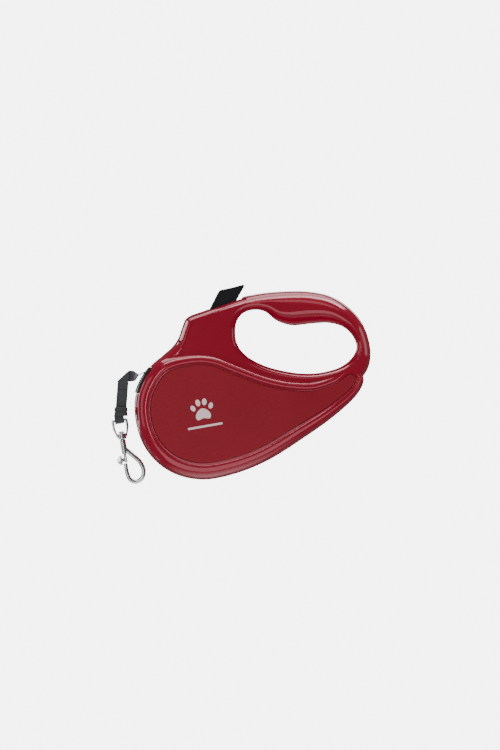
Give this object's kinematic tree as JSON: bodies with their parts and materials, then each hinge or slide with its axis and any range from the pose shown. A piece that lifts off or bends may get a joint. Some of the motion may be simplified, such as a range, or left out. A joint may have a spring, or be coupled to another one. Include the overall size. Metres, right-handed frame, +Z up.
{
  "type": "retractable dog leash",
  "caption": "Teardrop reel housing with a loop handle and thumb brake; a sprung tape reel feeds a strap that ends in a swivel bolt snap.",
  "frame": {"origin": "middle of the hand grip, in the plane where the two shells meet", "axes": "+X from the reel towards the back of the handle, +Y to the far side of the housing, +Z up through the grip"},
  "size_m": [0.1829, 0.0318, 0.1405],
  "materials": {
    "shell_red": "high gloss moulded red",
    "panel_red": "satin red with a fine moulded texture",
    "gloss_black": "gloss black",
    "matte_black": "matt black",
    "webbing": "woven black nylon tape",
    "chrome": "bright nickel plated zinc",
    "steel": "plain steel",
    "nylon": "natural nylon"
  },
  "bodies": {
    "housing": {"front_shell": "shell_red", "rear_shell": "shell_red", "front_panel": "panel_red", "rear_panel": "panel_red", "nozzle": "gloss_black", "spring_arbor": "steel", "front_bush": "nylon", "rear_bush": "nylon", "housing_screw_1": "steel", "housing_screw_2": "steel", "housing_screw_3": "steel", "housing_screw_4": "steel", "main_spring": "steel", "tape_run": "webbing", "brake_spring": "steel"},
    "reel": {"reel_drum": "matte_black", "reel_cover": "matte_black", "tape_coil": "webbing"},
    "brake": {"brake_plunger": "matte_black"},
    "thumb_button": {"brake_button": "gloss_black"},
    "strap": {"strap_run": "webbing"},
    "strap_end": {"tape_keeper": "matte_black", "strap_loop": "webbing"},
    "eye": {"swivel_eye": "chrome"},
    "snap": {"snap_hook": "chrome", "bolt_spring": "steel"},
    "bolt": {"snap_bolt": "chrome"}
  },
  "joints": [
    {"name": "lead_swing", "type": "hinge", "parent": "housing", "child": "strap", "pos_m": [-0.1304, 0, -0.0485], "axis": [0, 1, 0], "range_deg": [0, 105]},
    {"name": "lead_pull", "type": "slide", "parent": "strap", "child": "strap_end", "axis": [-0.075, 0, -0.9972], "range_m": [0, 5], "stiffness_N_per_m": 1, "springref_m": -5, "deforming": ["strap_run"]},
    {"name": "reel_spin", "type": "hinge", "parent": "housing", "child": "reel", "pos_m": [-0.076, 0, -0.074], "axis": [0, -1, 0], "range_deg": [-2, 8642]},
    {"name": "brake_press", "type": "slide", "parent": "housing", "child": "brake", "axis": [-0.4551, 0, -0.8905], "range_m": [0, 0.0032], "stiffness_N_per_m": 1500, "springref_m": -0.003, "deforming": ["brake_spring"]},
    {"name": "brake_lock", "type": "slide", "parent": "brake", "child": "thumb_button", "axis": [0.8905, 0, -0.4551], "range_m": [0, 0.002]},
    {"name": "eye_pivot", "type": "hinge", "parent": "strap_end", "child": "eye", "pos_m": [-0.13373, 0, -0.07987], "axis": [0.9877, 0, 0.1564], "range_deg": [-75, 75]},
    {"name": "snap_swivel", "type": "hinge", "parent": "eye", "child": "snap", "pos_m": [-0.1316, 0, -0.0933], "axis": [0.1564, 0, -0.9877], "continuous": true},
    {"name": "bolt_slide", "type": "slide", "parent": "snap", "child": "bolt", "axis": [-0.1564, 0, 0.9877], "range_m": [0, 0.0045], "stiffness_N_per_m": 300, "springref_m": -0.004, "deforming": ["bolt_spring"]}
  ],
  "couplings": [
    {"joint": "reel_spin", "follows": "lead_pull", "rad_per_m": 30.159}
  ]
}
